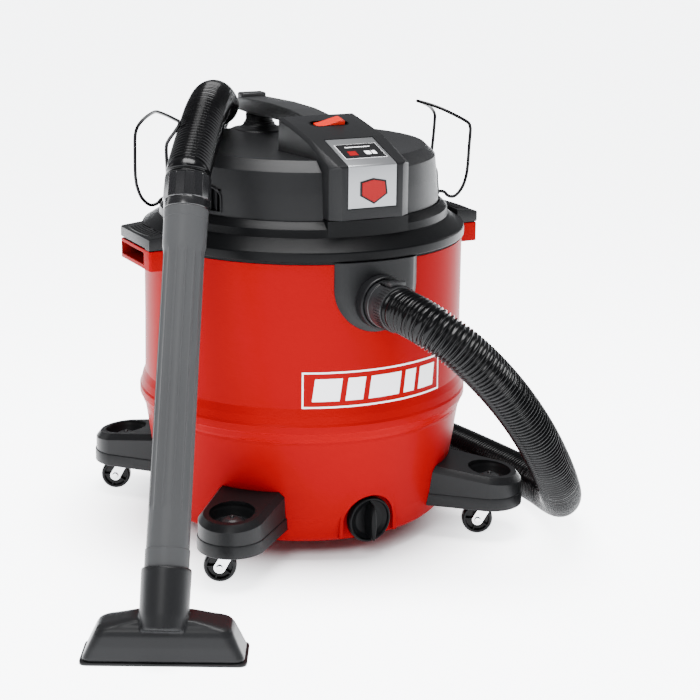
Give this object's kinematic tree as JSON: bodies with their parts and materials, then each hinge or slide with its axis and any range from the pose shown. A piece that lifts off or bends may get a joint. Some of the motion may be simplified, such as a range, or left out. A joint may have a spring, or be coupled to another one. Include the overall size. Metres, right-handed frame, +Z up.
{
  "type": "wet and dry shop vacuum",
  "caption": "Drum vacuum with lift-off motor lid, side latches, carry handle, swivel casters, ribbed hose, straight wand and floor nozzle",
  "frame": {"origin": "on the floor under the tank's axis", "axes": "+Z up, front with the hose inlet, drain and switch console is -Y, +X is the right hand side seen from the front"},
  "size_m": [0.8008, 0.8033, 0.6213],
  "materials": {
    "red_plastic": "satin moulded plastic",
    "charcoal_plastic": "fine textured moulding",
    "seal_rubber": "matte",
    "zinc_steel": "zinc plated pressing",
    "wheel_plastic": "hard smooth tread",
    "silver_trim": "brushed silver film",
    "label_black": "gloss film",
    "badge_red": "gloss with black outline",
    "rocker_red": "translucent gloss",
    "black_wire": "black coated wire",
    "impeller_aluminium": "pressed",
    "float_plastic": "natural moulding",
    "filter_paper": "pleated paper",
    "hose_black": "gloss ribbed moulding",
    "wand_black": "satin moulding"
  },
  "bodies": {
    "tank": {"drum": "red_plastic", "inlet_plate": "charcoal_plastic", "drain_seal": "seal_rubber", "foot_fl": "charcoal_plastic", "foot_fr": "charcoal_plastic", "foot_bl": "charcoal_plastic", "foot_br": "charcoal_plastic", "foot_screw_fl": "charcoal_plastic", "foot_screw_fr": "charcoal_plastic", "foot_screw_bl": "charcoal_plastic", "foot_screw_br": "charcoal_plastic", "latch_pin_l": "zinc_steel", "latch_pin_r": "zinc_steel", "hose_connector": "charcoal_plastic", "hose": "hose_black", "hose_cuff": "hose_black", "wand": "wand_black", "floor_nozzle": "wand_black", "nozzle_lip": "wand_black"},
    "lid": {"lid_base": "charcoal_plastic", "lid_gasket": "seal_rubber", "motor_cover": "charcoal_plastic", "console": "charcoal_plastic", "handle": "charcoal_plastic", "handle_post": "charcoal_plastic", "badge_plate": "silver_trim", "label_panel": "label_black", "badge": "badge_red", "switch_bezel": "charcoal_plastic", "motor": "charcoal_plastic", "filter_cage": "charcoal_plastic", "hook_l": "black_wire", "hook_r": "black_wire"},
    "rocker": {"switch_rocker": "rocker_red"},
    "motor_shaft": {"rotor": "zinc_steel", "impeller": "impeller_aluminium"},
    "float_ball": {"float": "float_plastic"},
    "filter_set": {"filter": "filter_paper", "filter_plate": "charcoal_plastic"},
    "nut": {"filter_nut": "charcoal_plastic"},
    "drain": {"drain_cap": "charcoal_plastic"},
    "tab": {"connector_tab": "charcoal_plastic"},
    "latch_left": {"latch_l": "charcoal_plastic"},
    "latch_right": {"latch_r": "charcoal_plastic"},
    "caster_fl": {"caster_fork_fl": "zinc_steel", "axle_fl": "zinc_steel"},
    "caster_fr": {"caster_fork_fr": "zinc_steel", "axle_fr": "zinc_steel"},
    "caster_bl": {"caster_fork_bl": "zinc_steel", "axle_bl": "zinc_steel"},
    "caster_br": {"caster_fork_br": "zinc_steel", "axle_br": "zinc_steel"},
    "roller_fl": {"wheel_fl": "wheel_plastic"},
    "roller_fr": {"wheel_fr": "wheel_plastic"},
    "roller_bl": {"wheel_bl": "wheel_plastic"},
    "roller_br": {"wheel_br": "wheel_plastic"}
  },
  "joints": [
    {"name": "lid_lift", "type": "slide", "parent": "tank", "child": "lid", "axis": [0, 0, 1], "range_m": [0, 0.24], "deforming": ["hose"]},
    {"name": "switch_rock", "type": "hinge", "parent": "lid", "child": "rocker", "pos_m": [0, -0.0747, 0.5641], "axis": [0, 0.98, 0.199], "range_deg": [0, 14]},
    {"name": "motor_spin", "type": "hinge", "parent": "lid", "child": "motor_shaft", "pos_m": [0, 0, 0.46], "axis": [0, 0, 1], "continuous": true},
    {"name": "float_rise", "type": "slide", "parent": "lid", "child": "float_ball", "axis": [0, 0, 1], "range_m": [0, 0.098]},
    {"name": "filter_off", "type": "slide", "parent": "lid", "child": "filter_set", "axis": [0, 0, -1], "range_m": [0, 0.16]},
    {"name": "nut_turn", "type": "hinge", "parent": "filter_set", "child": "nut", "pos_m": [0, 0, 0.256], "axis": [0, 0, 1], "continuous": true},
    {"name": "drain_cap_turn", "type": "hinge", "parent": "tank", "child": "drain", "pos_m": [0, -0.1974, 0.0547], "axis": [0, -1, 0], "continuous": true},
    {"name": "tab_press", "type": "slide", "parent": "tank", "child": "tab", "axis": [0, 0, -1], "range_m": [0, 0.0015], "stiffness_N_per_m": 200},
    {"name": "latch_left_open", "type": "hinge", "parent": "tank", "child": "latch_left", "pos_m": [-0.2441, 0, 0.394], "axis": [0, -1, 0], "range_deg": [0, 70]},
    {"name": "latch_right_open", "type": "hinge", "parent": "tank", "child": "latch_right", "pos_m": [0.2441, 0, 0.394], "axis": [0, 1, 0], "range_deg": [0, 70]},
    {"name": "swivel_fl", "type": "hinge", "parent": "tank", "child": "caster_fl", "pos_m": [-0.194, -0.194, 0.0457], "axis": [0, 0, 1], "continuous": true},
    {"name": "swivel_fr", "type": "hinge", "parent": "tank", "child": "caster_fr", "pos_m": [0.194, -0.194, 0.0457], "axis": [0, 0, 1], "continuous": true},
    {"name": "swivel_bl", "type": "hinge", "parent": "tank", "child": "caster_bl", "pos_m": [-0.194, 0.194, 0.0457], "axis": [0, 0, 1], "continuous": true},
    {"name": "swivel_br", "type": "hinge", "parent": "tank", "child": "caster_br", "pos_m": [0.194, 0.194, 0.0457], "axis": [0, 0, 1], "continuous": true},
    {"name": "roll_fl", "type": "hinge", "parent": "caster_fl", "child": "roller_fl", "pos_m": [-0.20775, -0.18684, 0.0215], "axis": [-0.462, -0.8869, 0], "continuous": true},
    {"name": "roll_fr", "type": "hinge", "parent": "caster_fr", "child": "roller_fr", "pos_m": [0.18025, -0.18684, 0.0215], "axis": [-0.462, -0.8869, 0], "continuous": true},
    {"name": "roll_bl", "type": "hinge", "parent": "caster_bl", "child": "roller_bl", "pos_m": [-0.20775, 0.20116, 0.0215], "axis": [-0.462, -0.8869, 0], "continuous": true},
    {"name": "roll_br", "type": "hinge", "parent": "caster_br", "child": "roller_br", "pos_m": [0.18025, 0.20116, 0.0215], "axis": [-0.462, -0.8869, 0], "continuous": true}
  ]
}
